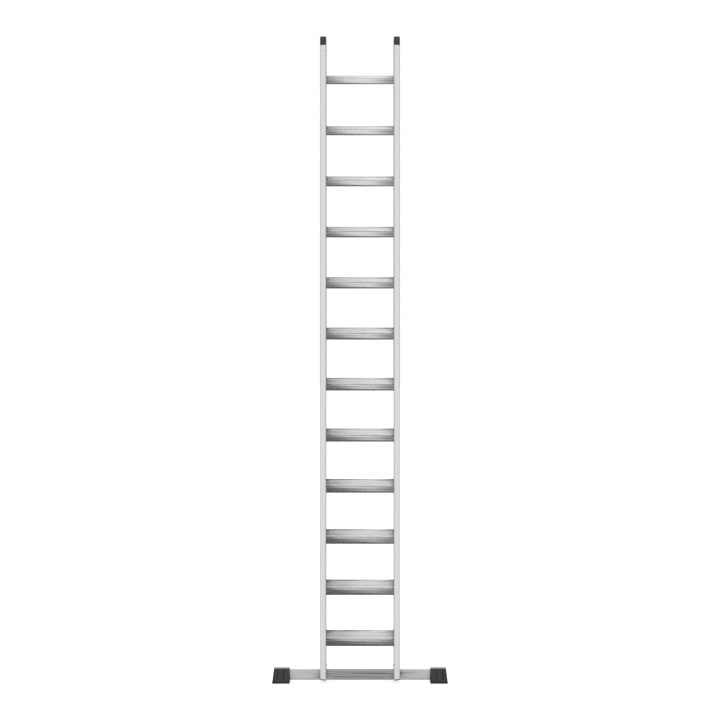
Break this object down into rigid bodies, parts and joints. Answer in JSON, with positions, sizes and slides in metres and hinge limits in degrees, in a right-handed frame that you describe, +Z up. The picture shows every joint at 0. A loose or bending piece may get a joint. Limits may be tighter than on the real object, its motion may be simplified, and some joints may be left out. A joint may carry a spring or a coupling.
{
  "type": "leaning ladder",
  "caption": "Single-section aluminium leaning ladder with deep ribbed treads, channel stiles, end caps and a wide stabiliser bar on rubber-soled feet.",
  "frame": {"origin": "on the ground, midway between the two feet and between the front and back faces of the stiles", "axes": "+Z up along the stiles, +X to the right seen from the climber's side, -Y towards the climber"},
  "size_m": [0.9664, 0.087, 3.5508],
  "materials": {
    "stile_aluminium": "mill-finish extrusion, satin, light",
    "tread_aluminium": "mill-finish extrusion, satin, ribbed",
    "bar_aluminium": "darker satin extrusion",
    "cap_plastic": "anthracite moulded plastic, fine texture",
    "plug_plastic": "grey moulded plastic, fine texture",
    "foot_plastic": "anthracite moulded plastic, fine texture",
    "sole_rubber": "black grooved rubber",
    "rivet_aluminium": "plain blind rivets",
    "bolt_steel": "zinc-plated steel"
  },
  "bodies": {
    "root": {"stile_left": "stile_aluminium", "stile_right": "stile_aluminium", "step_01": "tread_aluminium", "step_02": "tread_aluminium", "step_03": "tread_aluminium", "step_04": "tread_aluminium", "step_05": "tread_aluminium", "step_06": "tread_aluminium", "step_07": "tread_aluminium", "step_08": "tread_aluminium", "step_09": "tread_aluminium", "step_10": "tread_aluminium", "step_11": "tread_aluminium", "step_12": "tread_aluminium", "top_cap_left": "cap_plastic", "top_cap_right": "cap_plastic", "bottom_plug_left": "plug_plastic", "bottom_plug_right": "plug_plastic", "stabiliser_bar": "bar_aluminium", "foot_left": "foot_plastic", "foot_right": "foot_plastic", "sole_left": "sole_rubber", "sole_right": "sole_rubber", "cap_rivets": "rivet_aluminium", "plug_rivets": "rivet_aluminium", "bar_bolts": "bolt_steel", "bar_sleeve_nuts": "bolt_steel", "foot_screws": "bolt_steel"}
  },
  "joints": []
}
